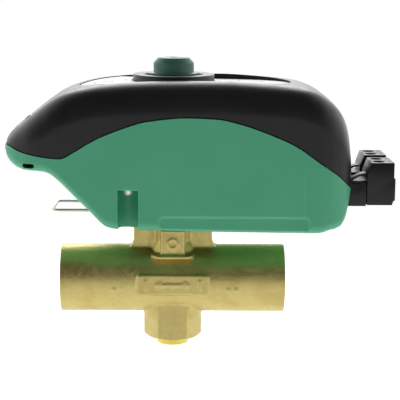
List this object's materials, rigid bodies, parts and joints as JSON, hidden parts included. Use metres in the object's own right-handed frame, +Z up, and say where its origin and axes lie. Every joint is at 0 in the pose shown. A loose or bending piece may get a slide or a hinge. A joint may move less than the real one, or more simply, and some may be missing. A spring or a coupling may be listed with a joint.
{
  "type": "motorised zone valve",
  "caption": "Brass sweat-end ball valve under a clip-on motor head with a manual knob, status lens and pull-off terminal plugs, for heating or cooling water.",
  "frame": {"origin": "where the pipe's axis meets the stem's axis", "axes": "+X along the pipe towards the end under the terminals, +Y from the head's front face to its back, +Z up the stem to the knob"},
  "size_m": [0.1454, 0.058, 0.1115],
  "materials": {
    "blasted_brass": "matte blasted",
    "bright_brass": "turned and bright",
    "steel": "satin",
    "spring_wire": "drawn wire, satin",
    "green_plastic": "fine moulded texture",
    "dark_green_plastic": "satin moulded",
    "black_plastic": "satin moulded",
    "white_plastic": "smooth",
    "nylon": "moulded",
    "rubber": "soft",
    "circuit_board": "solder mask",
    "capacitor_sleeve": "shrunk film",
    "smoked_lens": "polished",
    "lamp_resin": "clear resin"
  },
  "bodies": {
    "valve": {"valve_body": "blasted_brass", "bottom_plug": "bright_brass", "bottom_plug_seal": "rubber", "seat_left": "white_plastic", "seat_right": "white_plastic", "seat_retainer": "bright_brass", "stem_gland": "bright_brass", "neck_gasket": "rubber", "lower_casing": "green_plastic", "upper_cover": "black_plastic", "collar_ring": "black_plastic", "label_left": "white_plastic", "label_right": "white_plastic", "badge_plate": "black_plastic", "indicator_lens": "smoked_lens", "status_lamp": "lamp_resin", "lamp_board": "circuit_board", "cover_screw_front": "steel", "cover_screw_back": "steel", "lower_gear_plate": "steel", "upper_gear_plate": "steel", "gear_pillar_1": "steel", "gear_pillar_2": "steel", "gear_pillar_3": "steel", "gear_pillar_4": "steel", "lower_bush": "bright_brass", "upper_bush": "bright_brass", "second_axle": "steel", "first_axle": "steel", "motor_can": "steel", "end_switch": "black_plastic", "circuit_board": "circuit_board", "board_screw_1": "steel", "board_screw_2": "steel", "supercapacitor_front": "capacitor_sleeve", "supercapacitor_back": "capacitor_sleeve", "relay": "black_plastic", "terminal_header": "black_plastic"},
    "ball_and_stem": {"ball": "steel", "stem": "steel", "stem_seal_lower": "rubber", "stem_seal_upper": "rubber"},
    "drive": {"drive_shaft": "steel", "output_gear": "nylon", "switch_cam": "nylon"},
    "knob": {"knob": "dark_green_plastic"},
    "second_gear": {"second_wheel": "nylon"},
    "first_gear": {"first_wheel": "nylon"},
    "motor_rotor": {"motor_pinion": "bright_brass", "motor_shaft": "steel"},
    "switch_arm": {"switch_lever": "steel"},
    "clip": {"wire_clip": "spring_wire"},
    "front_plug": {"plug_front": "black_plastic", "terminal_screw_1": "steel", "terminal_screw_2": "steel"},
    "back_plug": {"plug_back": "black_plastic", "terminal_screw_3": "steel", "terminal_screw_4": "steel"}
  },
  "joints": [
    {"name": "knob_turn", "type": "hinge", "parent": "valve", "child": "drive", "pos_m": [0, 0, 0.05], "axis": [0, 0, 1], "range_deg": [0, 90]},
    {"name": "knob_press", "type": "slide", "parent": "drive", "child": "knob", "axis": [0, 0, -1], "range_m": [0, 0.0012], "stiffness_N_per_m": 1200},
    {"name": "ball_turn", "type": "hinge", "parent": "valve", "child": "ball_and_stem", "pos_m": [0, 0, 0], "axis": [0, 0, 1], "range_deg": [0, 90]},
    {"name": "second_gear_spin", "type": "hinge", "parent": "valve", "child": "second_gear", "pos_m": [-0.01865, -0.0085, 0.045], "axis": [0, 0, 1], "range_deg": [-321, 0]},
    {"name": "first_gear_spin", "type": "hinge", "parent": "valve", "child": "first_gear", "pos_m": [-0.03131, 0.00046, 0.05], "axis": [0, 0, 1], "range_deg": [0, 921]},
    {"name": "motor_spin", "type": "hinge", "parent": "valve", "child": "motor_rotor", "pos_m": [-0.0195, 0.0105, 0.052], "axis": [0, 0, 1], "range_deg": [-2646, 0]},
    {"name": "switch_lever_swing", "type": "hinge", "parent": "valve", "child": "switch_arm", "pos_m": [-0.0115, -0.0103, 0.058], "axis": [0, 0, 1], "range_deg": [0, 6]},
    {"name": "clip_pull", "type": "slide", "parent": "valve", "child": "clip", "axis": [-1, 0, 0], "range_m": [0, 0.011]},
    {"name": "front_plug_pull", "type": "slide", "parent": "valve", "child": "front_plug", "axis": [1, 0, 0], "range_m": [0, 0.007]},
    {"name": "back_plug_pull", "type": "slide", "parent": "valve", "child": "back_plug", "axis": [1, 0, 0], "range_m": [0, 0.007]}
  ],
  "couplings": [
    {"joint": "ball_turn", "follows": "knob_turn", "ratio": 1},
    {"joint": "second_gear_spin", "follows": "knob_turn", "ratio": -3.5556},
    {"joint": "first_gear_spin", "follows": "knob_turn", "ratio": 10.222},
    {"joint": "motor_spin", "follows": "knob_turn", "ratio": -29.389},
    {"joint": "switch_lever_swing", "follows": "knob_turn", "ratio": 0.0664}
  ]
}
